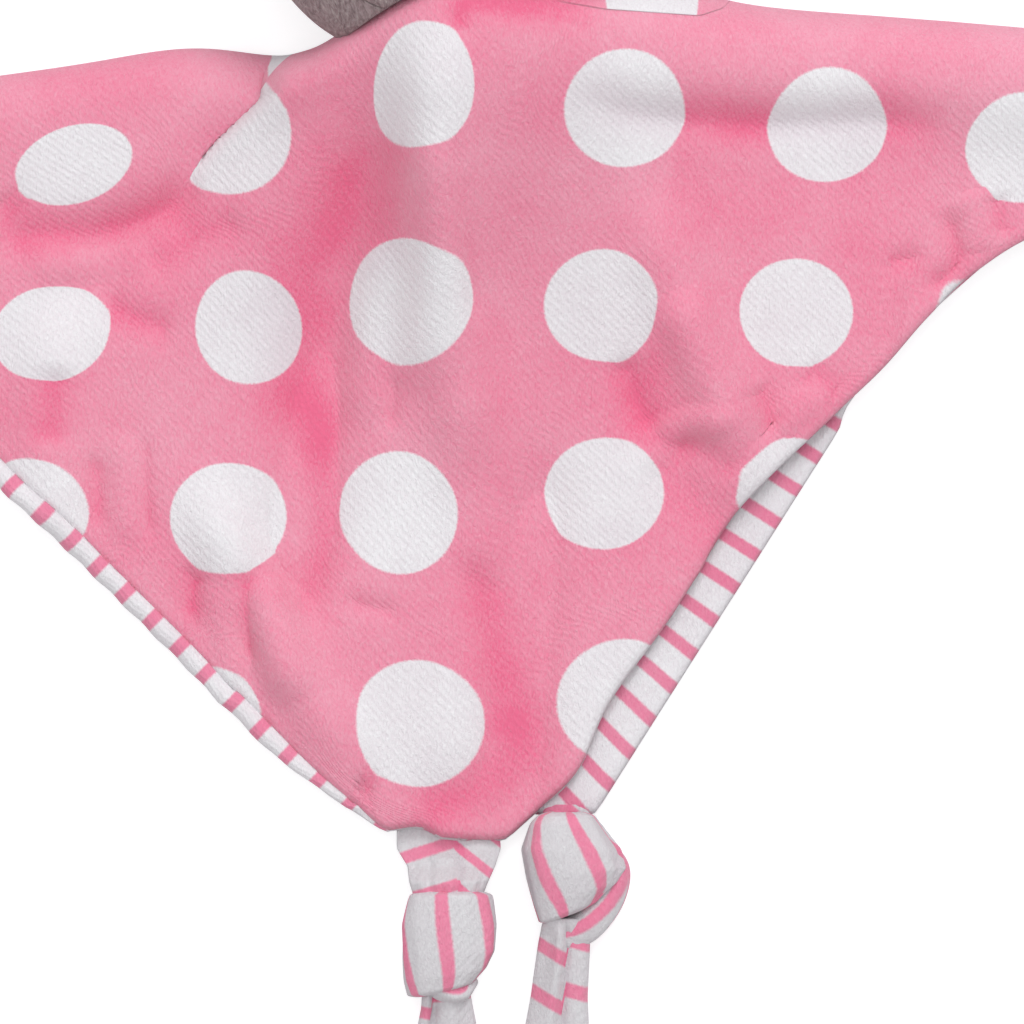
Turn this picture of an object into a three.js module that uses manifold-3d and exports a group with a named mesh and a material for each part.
// Comfort blanket lovey, lying on its back as it is laid out on a table.
// A square blanket of two layers is folded corner to corner. A stuffed bunny head is sewn on at the middle
// of the fold, and each of the four corners carries a knotted tab.
// Millimetres, +Z up, +X to the right corner, +Y to the head. The origin is on the flat underside of the
// back half, below the line where the front half bends up.
import * as THREE from 'three';
import * as BufferGeometryUtils from 'three/addons/utils/BufferGeometryUtils.js';
import Module from 'manifold-3d';

const wasm = await Module();
wasm.setup();

// Blanket, as cut flat
const blanketHalf = 235; // middle of the square to a sharp corner
const cornerCut = 23; // how far each corner is cut back for its tab
const dottedCloth = 1.2;
const stripedCloth = 1.2;
const layerGap = 0.35; // air between the two layers
const clearance = 0.3; // between pieces that touch
const splitGap = 0.4; // between the front yoke and the front flap
const weld = 0.0003; // points closer than this are one point

// Blanket, as it lies
const neckReach = 60; // bend line to the fold at the neck
const foldRound = 8; // how far the top fold bulges
const armHeight = 12; // middle of the cloth above the table on the arms
const tipHeight = 7.5; // and at the front corner
const lowest = 5.2; // and nowhere lower than this on the front half
const slopeReach = 90; // how far the arm height runs down the front
const chestHeight = 34; // the cloth rises over the chin
const chestHalfWidth = 52;
const chestReach = 62;
const chestShift = 5;
const chestRimRadius = 67; // the main fold's edge over the left arm
const chestRimFlare = 8;
const chestRimWidth = 8;
const rollHeight = 7; // the puffy roll along the top of each arm
const rollDepth = 12;
const rollWidth = 14;
const flapSide = 3; // shortest side of the front flap
const lean = 17; // the middle of the front half leans left
const drawFade = 15;
const chinCover = 11; // the fold leans out over the chin
const chinCoverWidth = 45; // to the right of the chin
const chinCoverLeftWidth = 20;
const chinCoverFade = 12;
const armDrop = 12; // dip of the left arm beside the main fold
const armDropPlace = 44;
const armDropWidth = 20;
const armDropFade = 18;
const backBulge = 7; // the back layer shows behind the fold, right of the neck
const backBulgePlace = 32;
const backBulgeWidth = 22;
const backBulgeTurn = -10; // degrees round the top fold
const backBulgeSpread = 35;
const foldHeight = 8; // main folds of the front half
const foldWidth = 9;
const edgeTuck = 25; // a stretch of the right edge curls under
const edgeTuckPlace = 165;
const edgeTuckWidth = 65;
const seamLip = 0.9; // the striped backing shows this far past the dotted flap elsewhere
const edgeRoll = 6.5; // the striped backing rolls this far past the dotted flap on the left

// Shares that shape how the flat cloth lies
const leftWidthShare = 0.84;
const rightWidthShare = 0.93;
const gatherShare = 0.59;
const gatherPower = 14; // how late the cloth draws in to the front tab
const leanShare = 0.9;
const leanPower = 6;
const leftRollShare = 0.4;
// Half turns round the head's side between which the main fold has its edge, and where the edge flares
const chestWindowShares = [0.06, 0.18, 0.35, 0.47];
const chestFlareShares = [0.28, 0.42];
const leftDrawShares = [0.22, 0.42, 0.08];
const rightDrawShares = [0.12, 0.376, 0.06];
const backDrawShares = [0.14, 0.06];
// The back half's edge: place along the fold, then how far right and how far down from the neck it lies
const backEdgeShares = [
  [-0.902, -0.752, 0.22],
  [-0.098, 0.058, 0.865],
  [0.098, 0.12, 0.865],
  [0.44, 0.379, 0.455],
  [0.553, 0.451, 0.34],
  [0.681, 0.566, 0.238],
  [0.809, 0.702, 0.166],
  [0.902, 0.809, 0.128],
];
// Main folds: ends as shares of the half diagonal from the neck, then height and width shares
const mainFoldShares = [
  [-0.05, -0.12, -0.02, -0.42, 0.75, 1.0],
  [-0.11, -0.14, -0.19, -0.55, -0.8, 1.2],
  [0.06, -0.56, 0.03, -0.86, -0.6, 1.0],
  [-0.27, -0.58, -0.17, -0.76, 0.6, 0.8],
  [0.2, -0.28, 0.26, -0.46, 0.55, 0.9],
  [-0.4, -0.28, -0.24, -0.15, -0.5, 1.0],
  [-0.46, -0.4, -0.46, -0.52, 0.4, 0.9],
];

// Knotted tabs
const tabWidth = 27; // across the sewn end
const backTabWidth = 16;
const armTabWidth = 25;
const tabRise = 7; // thickness at the sewn end of the front and back tabs
const gatherLength = 11;
const backGatherLength = 3.5; // the back tab is knotted close to its corner
const backTabRise = 4;
const backKnotLength = 30;
const backKnotWidth = 26;
const frontTabTurn = -91.5; // degrees from the right, seen from above
const backTabTurn = -93;
const gatherNeck = 14;
const knotLength = 27;
const knotWidth = 23;
const knotRise = 16;
const wrapStep = 2.4; // height of the wrap's free edge on the knot
const tailLength = 44;
const tailRoot = 13;
const tailEnd = 24;
const tailRise = 5;

// Head
const headHalfWidth = 48;
const headHalfLength = 46;
const headHalfRise = 28;
const headShift = -10; // the head's middle lies a little left of the neck
const headAhead = 29; // neck to the head's middle
const plush = 2; // thickness of the plush shells
const headFlat = 1; // how deep the back of the head is pressed flat
const seamRise = 17; // face seam above the head's middle
const neckCloth = 1.2;
const stitchRadius = 0.9;
const eyeHalfWidth = 7;
const eyeDrop = 3;
const eyeSpread = 17;
const eyeAhead = 4; // eyes above the head's middle
const noseHalfWidth = 5;
const noseHalfLength = 3.6;
const noseRise = 2;
const noseBack = 9; // nose below the head's middle
const mouthHalfWidth = 6;
const mouthDrop = 4;

// Ears
const earLength = 104;
const earHalfWidth = 22;
const earHalfRise = 4;
const earRootHalfWidth = 11;
const earSplay = 34; // degrees from straight ahead
const earBend = 26; // extra degrees that the ear turns outwards
const earSunk = 4; // how far the ear starts inside the head's outline
const liningCloth = 1.2;
const liningShare = 0.74;

const solveSteps = 12;
const solveShare = 0.8;
const halvingSteps = 40;

const cutV = blanketHalf - cornerCut;
const clothStack = layerGap + dottedCloth + stripedCloth;
const backMiddle = layerGap / 2 + dottedCloth;

function smooth(value) {
  const t = Math.min(Math.max(value, 0), 1);
  return t * t * (3 - 2 * t);
}

// 0 before the first place, 1 after the second one
function rise(from, to, value) {
  return smooth((value - from) / (to - from));
}

function mix(from, to, share) {
  return from + (to - from) * share;
}

function bell(value) {
  return Math.exp(-value * value);
}

// How the fold line of the left arm dips beside the main fold
function leftDip(u, v) {
  if (u > 0) {
    return 0;
  }
  const along = bell((-u - armDropPlace) / armDropWidth);
  return armDrop * (-u / armDropPlace) * along * Math.exp(-Math.abs(v) / armDropFade);
}

// Where a point of the flat front half lies, seen from above; v runs from 0 at the fold to -cutV
function frontPlan(u, v) {
  const reach = Math.min(Math.max(-v / cutV, 0), 1);
  const side = Math.abs(u) / cutV;
  const middle = -lean * Math.sqrt(Math.sin(Math.PI * leanShare * reach)) * (1 - side ** leanPower);
  const width = u < 0 ? leftWidthShare : rightWidthShare;
  const drawn = u < 0 ? leftDrawShares : rightDrawShares;
  const draw = -drawn[0] + drawn[1] * (-v / blanketHalf) + drawn[2] * Math.exp(v / drawFade);
  const x = middle + u * mix(width, gatherShare, reach ** gatherPower);
  const wide = x < -chestShift ? chinCoverLeftWidth : chinCoverWidth;
  const cover = chinCover * bell((x + chestShift) / wide) * Math.exp(v / chinCoverFade);
  return { x, y: neckReach + v + Math.abs(u) * draw - leftDip(u, v) + cover };
}

// Where the back half's edge lies, for a place along the fold
function backEdge(u) {
  const share = u / blanketHalf;
  const last = backEdgeShares.length - 1;
  let i = 0;
  while (i < last - 1 && share > backEdgeShares[i + 1][0]) {
    i += 1;
  }
  const from = backEdgeShares[i];
  const to = backEdgeShares[i + 1];
  const part = (share - from[0]) / (to[0] - from[0]);
  return { x: blanketHalf * mix(from[1], to[1], part), y: neckReach - blanketHalf * mix(from[2], to[2], part) };
}

// And the back half, below it, drawn straight from the fold to its edge; v runs from 0 at the fold to cutV
function backPlan(u, v) {
  const edge = backEdge(u);
  const share = Math.max(v, 0) / edgeV(u);
  const width = u < 0 ? leftWidthShare : rightWidthShare;
  const draw = u < 0 ? backDrawShares[0] : backDrawShares[1];
  return {
    x: mix(u * width, edge.x, share),
    y: mix(neckReach - Math.abs(u) * draw, edge.y, share) - leftDip(u, v),
  };
}

// A long soft fold between two points, fading at its ends
function foldAt(x, y, shares) {
  const startX = shares[0] * blanketHalf;
  const startY = neckReach + shares[1] * blanketHalf;
  const runX = shares[2] * blanketHalf - startX;
  const runY = neckReach + shares[3] * blanketHalf - startY;
  const run = Math.hypot(runX, runY);
  const along = ((x - startX) * runX + (y - startY) * runY) / run;
  const across = ((x - startX) * runY - (y - startY) * runX) / run;
  const past = Math.max(-along, along - run, 0);
  const width = foldWidth * shares[5];
  return foldHeight * shares[4] * bell(across / width) * bell(past / (2 * width));
}

// 1 on the chest side of the main fold's edge, 0 over the left arm
function chestSide(x, below) {
  const ahead = chestRimRadius - below;
  const turn = Math.atan2(-x, ahead) / Math.PI;
  const window = rise(chestWindowShares[0], chestWindowShares[1], turn)
    * (1 - rise(chestWindowShares[2], chestWindowShares[3], turn));
  const rim = chestRimRadius + chestRimFlare * rise(chestFlareShares[0], chestFlareShares[1], turn);
  const inside = smooth((rim - Math.hypot(x, ahead)) / chestRimWidth);
  return 1 - (1 - inside) * window;
}

// Height of the middle of the front half's cloth above the table
function frontHeight(x, y, u) {
  const below = neckReach - y;
  const top = u < 0 ? leftDrawShares : rightDrawShares;
  const depth = below - Math.abs(u) * (top[0] - top[2]);
  let z = tipHeight + (armHeight - tipHeight) * bell(depth / slopeReach);
  const chest = bell((x + chestShift) / chestHalfWidth) * bell(below / chestReach);
  z += chestHeight * chest * chestSide(x, below);
  const ends = smooth((cutV - Math.abs(u)) / rollDepth / 2);
  z += rollHeight * bell((depth - rollDepth) / rollWidth) * (1 - chest) * (u < 0 ? leftRollShare : 1) * ends;
  for (const shares of mainFoldShares) {
    z += foldAt(x, y, shares);
  }
  return Math.max(z, lowest);
}

function frontPoint(u, v) {
  const plan = frontPlan(u, v);
  return new THREE.Vector3(plan.x, plan.y, frontHeight(plan.x, plan.y, u));
}

function backPoint(u, v) {
  const plan = backPlan(u, v);
  return new THREE.Vector3(plan.x, plan.y, backMiddle);
}

// The cloth's edge at a flat distance u from its middle; on the right a stretch of it curls under
function edgeV(u) {
  const tuck = edgeTuck * bell((u - edgeTuckPlace) / edgeTuckWidth) * smooth((cutV - u) / edgeTuckWidth);
  return Math.min(cutV, blanketHalf - Math.abs(u) - tuck);
}

// The flat v of the front half that lies at a given y, found step by step
function frontV(u, y) {
  let v = y - neckReach;
  for (let step = 0; step < solveSteps; step += 1) {
    v -= solveShare * (frontPlan(u, v).y - y);
  }
  return v;
}

// The rounded fold between the halves, from -90 degrees at the back to 90 at the front
function foldPoint(u, degrees) {
  const angle = THREE.MathUtils.degToRad(degrees);
  const low = backPoint(u, foldRound);
  const high = frontPoint(u, -foldRound);
  const point = low.clone().lerp(high, (1 + Math.sin(angle)) / 2);
  point.y += foldRound * Math.cos(angle);
  const beside = bell((point.x - backBulgePlace) / backBulgeWidth);
  point.y += backBulge * beside * bell((degrees - backBulgeTurn) / backBulgeSpread);
  return point;
}

const columnShares = [-1, -0.9, -0.76, -0.62, -0.5, -0.4, -0.33, -0.27, -0.21, -0.14, -0.07, 0, 0.07, 0.15,
  0.24, 0.34, 0.46, 0.6, 0.75, 0.88, 1];
const backRowShares = [1, 0.83, 0.65, 0.46, 0.28, 0.12, 0];
const foldAngles = [-60, -30, 0, 30, 60];
const yokeRowShares = [0, 0.22, 0.45, 0.7, 1];

// Middle of the cloth for the back half, the top fold and the yoke, column by column
function rootGrid() {
  return columnShares.map((share) => {
    const u = share * cutV;
    const edge = edgeV(u);
    const column = backRowShares.map((row) => backPoint(u, mix(foldRound, edge, row)));
    foldAngles.forEach((degrees) => column.push(foldPoint(u, degrees)));
    const top = frontPlan(u, -foldRound).y;
    const end = Math.max(splitGap / 2, frontPlan(u, -edge).y);
    yokeRowShares.forEach((row) => column.push(frontPoint(u, frontV(u, mix(top, end, row)))));
    return column;
  });
}

// How far out the front flap reaches: there its side is still one flapSide long
function flapEnd(side) {
  let inner = 0;
  let outer = cutV;
  for (let step = 0; step < halvingSteps; step += 1) {
    const u = (inner + outer) / 2;
    const short = frontPlan(side * u, -edgeV(u)).y > -flapSide;
    inner = short ? inner : u;
    outer = short ? u : outer;
  }
  return side * inner;
}

const flapColumnShares = [1, 0.9, 0.78, 0.66, 0.55, 0.44, 0.34, 0.25, 0.16];
const flapRowShares = [0, 0.08, 0.18, 0.29, 0.41, 0.54, 0.67, 0.79, 0.9, 1];

// Flat places of the flap's columns
function flapColumns() {
  const left = flapColumnShares.map((share) => share * flapEnd(-1));
  const right = flapColumnShares.map((share) => share * flapEnd(1)).reverse();
  return [...left, -cornerCut, 0, cornerCut, ...right];
}

// Middle of the cloth for the front flap
function flapGrid() {
  return flapColumns().map((u) => {
    const top = -splitGap / 2;
    const end = frontPlan(u, -edgeV(u)).y;
    return flapRowShares.map((row) => frontPoint(u, frontV(u, mix(top, end, row))));
  });
}

function gridNormals(grid) {
  const last = grid.length - 1;
  return grid.map((column, i) => column.map((point, j) => {
    const across = grid[Math.min(i + 1, last)][j].clone().sub(grid[Math.max(i - 1, 0)][j]);
    const along = column[Math.min(j + 1, column.length - 1)].clone().sub(column[Math.max(j - 1, 0)]);
    const normal = along.cross(across);
    // Both sides of the split are cut square to the table
    normal.y = Math.abs(point.y) < splitGap ? 0 : normal.y;
    return normal.normalize();
  }));
}

function offsetGrid(grid, normals, distance) {
  return grid.map((column, i) => column.map((p, j) => p.clone().addScaledVector(normals[i][j], distance)));
}

function geometryOf(points, faces) {
  const geometry = new THREE.BufferGeometry();
  const flat = points.flatMap((point) => [point.x, point.y, point.z]);
  geometry.setAttribute('position', new THREE.Float32BufferAttribute(flat, 3));
  geometry.setIndex(faces.flat());
  geometry.computeVertexNormals();
  return geometry;
}

// A closed layer between two grids of the same size, the first one on the outside
function layerGeometry(outer, inner) {
  const columns = outer.length;
  const rows = outer[0].length;
  const points = [...outer.flat(), ...inner.flat()];
  const faces = [];
  const at = (i, j, inside) => i * rows + j + (inside ? columns * rows : 0);
  const quad = (a, b, c, d) => faces.push([a, b, c], [c, b, d]);
  const under = (a, b, c, d) => faces.push([c, b, a], [d, b, c]);
  for (let i = 0; i < columns - 1; i += 1) {
    for (let j = 0; j < rows - 1; j += 1) {
      quad(at(i, j), at(i, j + 1), at(i + 1, j), at(i + 1, j + 1));
      under(at(i, j, true), at(i, j + 1, true), at(i + 1, j, true), at(i + 1, j + 1, true));
    }
    quad(at(i, 0, true), at(i, 0), at(i + 1, 0, true), at(i + 1, 0));
    quad(at(i, rows - 1), at(i, rows - 1, true), at(i + 1, rows - 1), at(i + 1, rows - 1, true));
  }
  for (let j = 0; j < rows - 1; j += 1) {
    quad(at(0, j, true), at(0, j + 1, true), at(0, j), at(0, j + 1));
    quad(at(columns - 1, j), at(columns - 1, j + 1), at(columns - 1, j, true), at(columns - 1, j + 1, true));
  }
  return geometryOf(points, faces);
}

function dottedLayer(grid) {
  const normals = gridNormals(grid);
  const inner = offsetGrid(grid, normals, layerGap / 2);
  return layerGeometry(offsetGrid(grid, normals, layerGap / 2 + dottedCloth), inner);
}

function stripedLayer(grid) {
  const normals = gridNormals(grid);
  const outer = offsetGrid(grid, normals, -layerGap / 2);
  return layerGeometry(outer, offsetGrid(grid, normals, -layerGap / 2 - stripedCloth));
}

// The striped layer of the flap runs out past the dotted one, and up beside it: a wide roll on the left,
// a narrow lip on the right
function rolledStripedLayer(grid) {
  const normals = gridNormals(grid);
  const outer = offsetGrid(grid, normals, -layerGap / 2);
  const inner = offsetGrid(grid, normals, -layerGap / 2 - stripedCloth);
  const end = grid[0].length - 1;
  flapColumns().forEach((u, i) => {
    const before = grid[Math.max(i - 1, 0)][end];
    const after = grid[Math.min(i + 1, grid.length - 1)][end];
    const away = new THREE.Vector3(after.y - before.y, before.x - after.x, 0).normalize();
    const roll = mix(seamLip, edgeRoll, smooth((-u - cornerCut) / (2 * cornerCut)));
    const near = grid[i][end].clone().addScaledVector(away, clearance + layerGap / 2);
    const far = grid[i][end].clone().addScaledVector(away, clearance + layerGap / 2 + roll);
    const top = layerGap / 2 + dottedCloth;
    const low = -layerGap / 2 - stripedCloth;
    outer[i].push(near.clone().addScaledVector(normals[i][end], top));
    outer[i].push(far.clone().addScaledVector(normals[i][end], top / 3));
    inner[i].push(near.clone().addScaledVector(normals[i][end], low));
    inner[i].push(far.clone().addScaledVector(normals[i][end], low / 2));
  });
  return layerGeometry(outer, inner);
}

// A closed loft through rings of points; each ring runs anticlockwise seen from the next one
function loftGeometry(rings) {
  const count = rings[0].length;
  const points = rings.flat();
  const faces = [];
  for (let i = 0; i < rings.length - 1; i += 1) {
    for (let j = 0; j < count; j += 1) {
      const next = (j + 1) % count;
      faces.push([i * count + j, i * count + next, (i + 1) * count + j]);
      faces.push([i * count + next, (i + 1) * count + next, (i + 1) * count + j]);
    }
  }
  const capRing = (first, flip) => {
    const middle = new THREE.Vector3();
    for (let j = 0; j < count; j += 1) {
      middle.addScaledVector(points[first + j], 1 / count);
    }
    points.push(middle);
    for (let j = 0; j < count; j += 1) {
      const next = first + (j + 1) % count;
      faces.push(flip ? [points.length - 1, next, first + j] : [points.length - 1, first + j, next]);
    }
  };
  const lastRing = (rings.length - 1) * count;
  capRing(0, true);
  capRing(lastRing, false);
  return geometryOf(points, faces);
}

// Boolean work
function solidOf(geometry) {
  const bare = new THREE.BufferGeometry();
  bare.setAttribute('position', geometry.getAttribute('position').clone());
  if (geometry.index) {
    bare.setIndex(geometry.index.clone());
  }
  const merged = BufferGeometryUtils.mergeVertices(bare, weld);
  const vertProperties = new Float32Array(merged.getAttribute('position').array);
  const triVerts = new Uint32Array(merged.index.array);
  return new wasm.Manifold(new wasm.Mesh({ numProp: 3, vertProperties, triVerts }));
}

function geometryFrom(solid) {
  const mesh = solid.getMesh();
  const geometry = new THREE.BufferGeometry();
  geometry.setAttribute('position', new THREE.Float32BufferAttribute(Array.from(mesh.vertProperties), 3));
  geometry.setIndex(Array.from(mesh.triVerts));
  geometry.computeVertexNormals();
  return geometry;
}

function ellipsoid(halfX, halfY, halfZ, middle, round, tall) {
  const geometry = new THREE.SphereGeometry(1, round, tall);
  geometry.rotateX(Math.PI / 2);
  geometry.scale(halfX, halfY, halfZ);
  geometry.translate(middle.x, middle.y, middle.z);
  return solidOf(geometry);
}

function block(low, high) {
  const size = high.clone().sub(low);
  const geometry = new THREE.BoxGeometry(size.x, size.y, size.z);
  const middle = low.clone().add(high).multiplyScalar(0.5);
  geometry.translate(middle.x, middle.y, middle.z);
  return solidOf(geometry);
}

const clothGrid = rootGrid();
const flapMiddle = flapGrid();

// Columns of the cloth near the neck, and rows from the top of the back half to the yoke
const neckColumns = [5, -6];
const neckBackRows = 3;

// The space that the folded cloth takes at the neck, with room round it, as one closed solid
function neckSpace(room) {
  const normals = gridNormals(clothGrid);
  const skin = offsetGrid(clothGrid, normals, clothStack / 2 + room);
  const first = backRowShares.length - neckBackRows;
  const loops = skin.slice(...neckColumns).map((column) => {
    const loop = column.slice(first);
    const start = loop[0];
    const end = loop[loop.length - 1];
    loop.push(new THREE.Vector3(end.x, Math.min(end.y, start.y) - foldRound, end.z));
    loop.push(new THREE.Vector3(start.x, Math.min(end.y, start.y) - foldRound, start.z));
    return loop;
  });
  return solidOf(loftGeometry(loops));
}

// Superellipse ring with pleats, in the plane across the strip
function ring(frame, s, width, rise, bottom, pleats, depth) {
  const points = [];
  for (let j = 0; j < ringPoints; j += 1) {
    const angle = (2 * Math.PI * j) / ringPoints;
    const c = Math.cos(angle);
    const d = Math.sin(angle);
    const shrink = 1 - depth * (0.5 - 0.5 * Math.cos(pleats * angle));
    const across = (width / 2) * Math.sign(c) * Math.abs(c) ** boxyPower * shrink;
    const up = bottom + rise / 2 + (rise / 2) * Math.sign(d) * Math.abs(d) ** boxyPower * shrink;
    points.push(frame.at(s, across, up));
  }
  return points;
}

// A strip's own directions: s along it, across to its left, up from the table
function stripFrame(x, y, degrees) {
  const angle = THREE.MathUtils.degToRad(degrees);
  const along = new THREE.Vector3(Math.cos(angle), Math.sin(angle), 0);
  const side = new THREE.Vector3(-Math.sin(angle), Math.cos(angle), 0);
  const start = new THREE.Vector3(x, y, 0);
  const at = (s, across, up) => {
    const point = start.clone().addScaledVector(along, s).addScaledVector(side, across);
    point.z = up;
    return point;
  };
  return { at };
}

const ringPoints = 20;
const boxyPower = 0.8;
const gatherRowShares = [0, 0.35, 0.7, 1];
const gatherRiseShare = 0.75;
const gatherPleats = 6;
const gatherPleatShare = 0.16;
const wrapTurnShares = [0.15, 0.35]; // where the wrap's free edge starts, and how far it winds
const tailPleats = 2;
const tailPleatShare = 0.25;
const knotShares = [[0, 0.5], [0.08, 0.8], [0.25, 0.98], [0.5, 1], [0.75, 0.96], [0.92, 0.78], [1, 0.5]];
const tailShares = [[0, 0], [0.25, 0.3], [0.5, 0.6], [0.75, 0.85], [1, 1]];

// The gathered neck of a tab, from its sewn end into the knot
function gatherSolid(tab) {
  const middle = knotRise / 2;
  const rings = gatherRowShares.map((share) => {
    const eased = smooth(share);
    const tall = mix(tab.rise, gatherNeck * gatherRiseShare, eased);
    const low = mix(tab.low, middle - tall / 2, eased);
    const s = share * (tab.gather + wrapStep);
    const wide = mix(tab.width, gatherNeck, eased);
    return ring(tab.frame, s, wide, tall, low, gatherPleats, gatherPleatShare * (1 - eased));
  });
  return solidOf(loftGeometry(rings));
}

// The overhand knot: the strip wraps round itself, so each section is a spiral with a free edge
function knotSolid(tab) {
  const rings = knotShares.map(([share, size]) => {
    const s = tab.gather + share * tab.knotLength;
    const turn = (wrapTurnShares[0] + wrapTurnShares[1] * share) * 2 * Math.PI;
    const points = [];
    for (let j = 0; j < ringPoints; j += 1) {
      const angle = (2 * Math.PI * j) / ringPoints;
      const wound = ((((angle - turn) / (2 * Math.PI)) % 1) + 1) % 1;
      const grow = wrapStep * (wound - 0.5);
      const across = Math.cos(angle) * ((tab.knotWidth / 2 - wrapStep / 2) * size + grow);
      const up = knotRise / 2 + Math.sin(angle) * ((knotRise / 2 - wrapStep / 2) * size + grow);
      points.push(tab.frame.at(s, across, Math.max(up, 0)));
    }
    return points;
  });
  return solidOf(loftGeometry(rings));
}

// The flared tail below the knot, folded once along its middle
function tailSolid(tab) {
  const rings = tailShares.map(([share, open]) => {
    const s = tab.gather + tab.knotLength - wrapStep + share * tailLength;
    const tall = mix(knotRise / 2, tailRise, open);
    const low = mix(knotRise / 4, 0, open);
    return ring(tab.frame, s, mix(tailRoot, tailEnd, open), tall, low, tailPleats, tailPleatShare);
  });
  return solidOf(loftGeometry(rings));
}

function tabGeometry(tab) {
  const made = { ...tab, frame: stripFrame(tab.x, tab.y, tab.turn) };
  return geometryFrom(gatherSolid(made).add(knotSolid(made)).add(tailSolid(made)));
}

// Places where the tabs are sewn on, taken from the cloth's corners
function armEnd(side) {
  const u = side * cutV;
  const fold = foldPoint(u, 0);
  const low = frontPoint(u, -cornerCut);
  const out = Math.max(side * fold.x, side * low.x) + 2 * clearance;
  return { x: side * out, y: (fold.y + low.y) / 2 };
}

function cornerEnd(pointAt, v) {
  const places = [-cornerCut, 0, cornerCut].map((u) => pointAt(u, v));
  const lowY = Math.min(...places.map((point) => point.y));
  return { x: (places[0].x + places[2].x) / 2, y: lowY - clearance, z: places[1].z };
}

// Head
const headMiddle = new THREE.Vector3(headShift, neckReach + headAhead, headHalfRise - headFlat);
const roundCount = 32;
const tallCount = 18;
const noseRoundCount = 16;
const noseTallCount = 10;

function headEllipsoid(inset) {
  const halfX = headHalfWidth - inset;
  const halfY = headHalfLength - inset;
  return ellipsoid(halfX, halfY, headHalfRise - inset, headMiddle, roundCount, tallCount);
}

// Everything above or below a height, large enough to hold the head
function slab(from, to) {
  const reach = 2 * headHalfWidth;
  const low = new THREE.Vector3(headMiddle.x - reach, headMiddle.y - reach, from);
  return block(low, new THREE.Vector3(headMiddle.x + reach, headMiddle.y + reach, to));
}

const seamZ = headMiddle.z + seamRise;
const headTop = headMiddle.z + 2 * headHalfRise;
const headShell = headEllipsoid(0).subtract(headEllipsoid(plush)).subtract(neckSpace(clearance));

function facePanel() {
  return geometryFrom(headShell.intersect(slab(seamZ + clearance / 2, headTop)));
}

function headBackPanel() {
  const floorCut = slab(-headTop, 0);
  return geometryFrom(headShell.intersect(slab(-headTop, seamZ - clearance / 2)).subtract(floorCut));
}

function neckClosing() {
  const inside = headEllipsoid(plush + clearance).intersect(neckSpace(clearance + neckCloth));
  return geometryFrom(inside.subtract(neckSpace(clearance)).subtract(slab(-headTop, plush + clearance)));
}

function headFilling() {
  const core = headEllipsoid(plush + clearance).subtract(neckSpace(2 * clearance + neckCloth));
  return geometryFrom(core.subtract(slab(-headTop, plush + clearance)));
}

// Height of the head's skin over a point of the table
function skinHeight(x, y) {
  const across = (x - headMiddle.x) / headHalfWidth;
  const along = (y - headMiddle.y) / headHalfLength;
  return headMiddle.z + headHalfRise * Math.sqrt(1 - across * across - along * along);
}

const threadSides = 6;
const threadEndShare = 0.2;
const threadPower = 4; // how late the thread thins at its ends
const aheadShare = 0.01;
const eyeSteps = 8;
const mouthSteps = 12;
const mouthCurlShare = 0.4;

// A stitched line that lies on the head, from a curve of places seen from above
function stitchGeometry(place, radius, steps) {
  const rings = [];
  for (let i = 0; i <= steps; i += 1) {
    const share = i / steps;
    const here = place(share);
    const ahead = place(share + aheadShare);
    const side = new THREE.Vector2(here.y - ahead.y, ahead.x - here.x).normalize();
    const size = radius * Math.sqrt(Math.max(1 - (2 * share - 1) ** threadPower, threadEndShare));
    const middle = skinHeight(here.x, here.y) + clearance + radius;
    const points = [];
    for (let j = 0; j < threadSides; j += 1) {
      const angle = (2 * Math.PI * j) / threadSides;
      const across = size * Math.cos(angle);
      const up = middle + size * Math.sin(angle);
      points.push(new THREE.Vector3(here.x + side.x * across, here.y + side.y * across, up));
    }
    rings.push(points);
  }
  return loftGeometry(rings);
}

// A closed sleeping eye is a shallow arc
function eyeGeometry(side) {
  const place = (share) => {
    const t = 2 * share - 1;
    const x = headMiddle.x + side * eyeSpread + eyeHalfWidth * t;
    return new THREE.Vector2(x, headMiddle.y + eyeAhead - eyeDrop * (1 - t * t));
  };
  return stitchGeometry(place, stitchRadius, eyeSteps);
}

function mouthGeometry() {
  const place = (share) => {
    const t = 2 * share - 1;
    const curl = mix(1, Math.cos(2 * Math.PI * t), mouthCurlShare);
    const y = headMiddle.y - noseBack - noseHalfLength - mouthDrop * curl;
    return new THREE.Vector2(headMiddle.x + mouthHalfWidth * t, y);
  };
  return stitchGeometry(place, stitchRadius, mouthSteps);
}

function noseGeometry() {
  const middle = new THREE.Vector3(headMiddle.x, headMiddle.y - noseBack, 0);
  middle.z = skinHeight(middle.x, middle.y);
  const pad = ellipsoid(noseHalfWidth, noseHalfLength, noseRise, middle, noseRoundCount, noseTallCount);
  return geometryFrom(pad.subtract(headEllipsoid(-clearance)));
}

// Ears
const earRowShares = [0, 0.06, 0.14, 0.25, 0.38, 0.52, 0.66, 0.8, 0.91, 0.98];
const earAngles = 16;
const liningSteps = 8;
const earDropShare = 0.35; // the ear comes down to the table over this share of its length
const earStartShare = 0.75; // of the head's middle height
const earWidestShare = 0.6;
const earTipShare = 0.02;
const earFlatPower = 6;
const earFlatShare = 0.56;
const earEdgeShare = 0.1;

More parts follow.
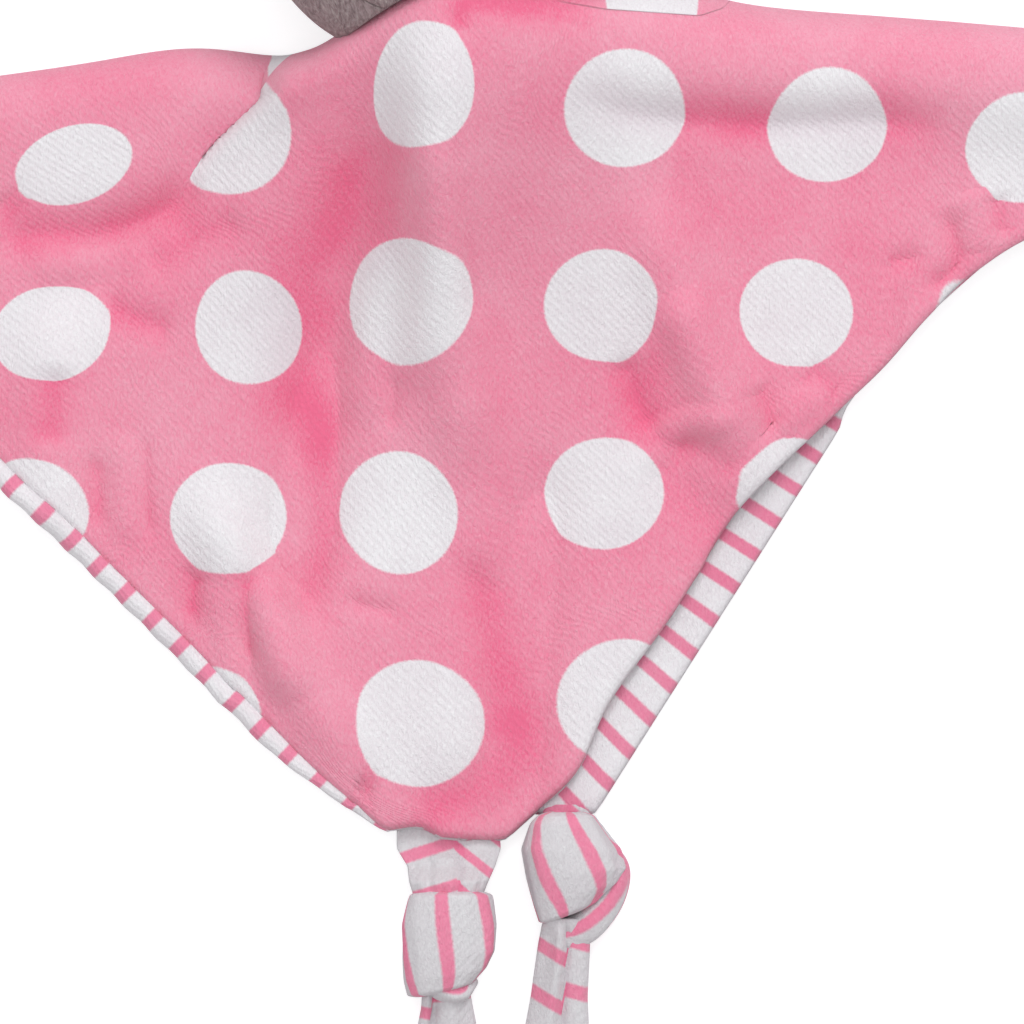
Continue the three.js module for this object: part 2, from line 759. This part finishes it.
// The ear's middle line: out of the head at its seam, down to the table, and outwards along it
function earMiddle(side, share) {
  const turn = THREE.MathUtils.degToRad(earSplay + earBend * share);
  const start = THREE.MathUtils.degToRad(earSplay);
  const rootX = headMiddle.x + side * (headHalfWidth - earSunk) * Math.sin(start);
  const rootY = headMiddle.y + (headHalfLength - earSunk) * Math.cos(start);
  const reach = share * earLength;
  const drop = smooth(share / earDropShare);
  return {
    point: new THREE.Vector3(rootX + side * reach * Math.sin((turn + start) / 2),
      rootY + reach * Math.cos((turn + start) / 2), mix(headMiddle.z * earStartShare, earHalfRise, drop)),
    across: new THREE.Vector3(side * Math.cos(turn), -Math.sin(turn), 0),
  };
}

function earWidth(share) {
  const past = (share - earWidestShare) / (1 - earWidestShare);
  const grow = mix(earRootHalfWidth, earHalfWidth, smooth(share / earWidestShare));
  return past < 0 ? grow : earHalfWidth * Math.sqrt(Math.max(1 - past * past, earTipShare));
}

function earRise(share) {
  const past = (share - 0.5) / earFlatShare;
  return earHalfRise * Math.sqrt(Math.max(1 - past ** earFlatPower, earEdgeShare));
}

// One ring of the ear's outline, clockwise seen from the tip
function earRing(side, share) {
  const { point, across } = earMiddle(side, share);
  const points = [];
  for (let j = 0; j < earAngles; j += 1) {
    const angle = (-2 * Math.PI * j) / earAngles;
    const c = side * Math.cos(angle) * earWidth(share);
    points.push(point.clone().addScaledVector(across, c).setZ(point.z + Math.sin(angle) * earRise(share)));
  }
  return points;
}

// A line across the ear's upper side, a distance above it
function liningRow(side, share, above) {
  const { point, across } = earMiddle(side, share);
  const points = [];
  for (let j = 0; j <= liningSteps; j += 1) {
    const place = liningShare * (1 - (2 * j) / liningSteps);
    const up = earRise(share) * Math.sqrt(1 - place * place) + above;
    const c = side * place * earWidth(share);
    points.push(point.clone().addScaledVector(across, c).setZ(point.z + up));
  }
  return points;
}

const tableTop = block(new THREE.Vector3(-2 * blanketHalf, -2 * blanketHalf, -blanketHalf),
  new THREE.Vector3(2 * blanketHalf, 2 * blanketHalf, 0));

function earOuter(side) {
  const solid = solidOf(loftGeometry(earRowShares.map((share) => earRing(side, share))));
  return geometryFrom(solid.subtract(headEllipsoid(-clearance)).subtract(tableTop));
}

// The lining lies on the ear's upper side, the same gap above it all over
function earLining(side) {
  const rings = earRowShares.slice(1, -1).map((share) => {
    const low = liningRow(side, share, clearance);
    return [...low, ...liningRow(side, share, clearance + liningCloth).reverse()];
  });
  return geometryFrom(solidOf(loftGeometry(rings)).subtract(headEllipsoid(-clearance)));
}

// Finishes
function finish(color, roughness) {
  return new THREE.MeshStandardMaterial({ color, roughness, metalness: 0 });
}

const dottedVelour = finish(0xee97ae, 0.9);
const stripedVelour = finish(0xe6d3d8, 0.9);
const greyPlush = finish(0x96908c, 0.95);
const pinkVelour = finish(0xf2b3c2, 0.9);
const darkThread = finish(0x5b5352, 0.6);
const pinkThread = finish(0xe27f9a, 0.5);
const whiteFilling = finish(0xf2efe9, 1);

const group = new THREE.Group();

function place(name, geometry, material) {
  const mesh = new THREE.Mesh(geometry, material);
  mesh.name = name;
  group.add(mesh);
}

place('dotted_panel', dottedLayer(clothGrid), dottedVelour);
place('striped_backing', stripedLayer(clothGrid), stripedVelour);
place('dotted_flap', dottedLayer(flapMiddle), dottedVelour);
place('striped_flap', rolledStripedLayer(flapMiddle), stripedVelour);

// Each tab: where it is sewn on, which way it lies, and its own sizes
const front = cornerEnd(frontPoint, -cutV);
const back = cornerEnd(backPoint, cutV);
const left = armEnd(-1);
const right = armEnd(1);
const arms = { gather: gatherLength, width: armTabWidth, rise: armHeight, low: 0, knotLength, knotWidth };
const tabs = {
  front_tab: {
    ...arms,
    x: front.x,
    y: front.y - seamLip - clearance - layerGap / 2,
    turn: frontTabTurn,
    width: tabWidth,
    rise: tabRise,
    low: front.z - tabRise / 2,
  },
  back_tab: {
    x: back.x,
    y: back.y - (backTabWidth / 2) * Math.abs(Math.cos(THREE.MathUtils.degToRad(backTabTurn))),
    turn: backTabTurn,
    gather: backGatherLength,
    width: backTabWidth,
    rise: backTabRise,
    low: 0,
    knotLength: backKnotLength,
    knotWidth: backKnotWidth,
  },
  left_tab: { ...arms, ...left, turn: 180 },
  right_tab: { ...arms, ...right, turn: 0 },
};
for (const [name, tab] of Object.entries(tabs)) {
  place(name, tabGeometry(tab), stripedVelour);
}

place('face_panel', facePanel(), greyPlush);
place('head_back_panel', headBackPanel(), greyPlush);
place('neck_closing_panel', neckClosing(), dottedVelour);
place('head_filling', headFilling(), whiteFilling);
place('left_eye_stitch', eyeGeometry(-1), darkThread);
place('right_eye_stitch', eyeGeometry(1), darkThread);
place('nose', noseGeometry(), pinkThread);
place('mouth_stitch', mouthGeometry(), darkThread);
for (const [side, word] of [[-1, 'left'], [1, 'right']]) {
  place(`${word}_ear_outer`, earOuter(side), greyPlush);
  place(`${word}_ear_lining`, earLining(side), pinkVelour);
}

export default group;
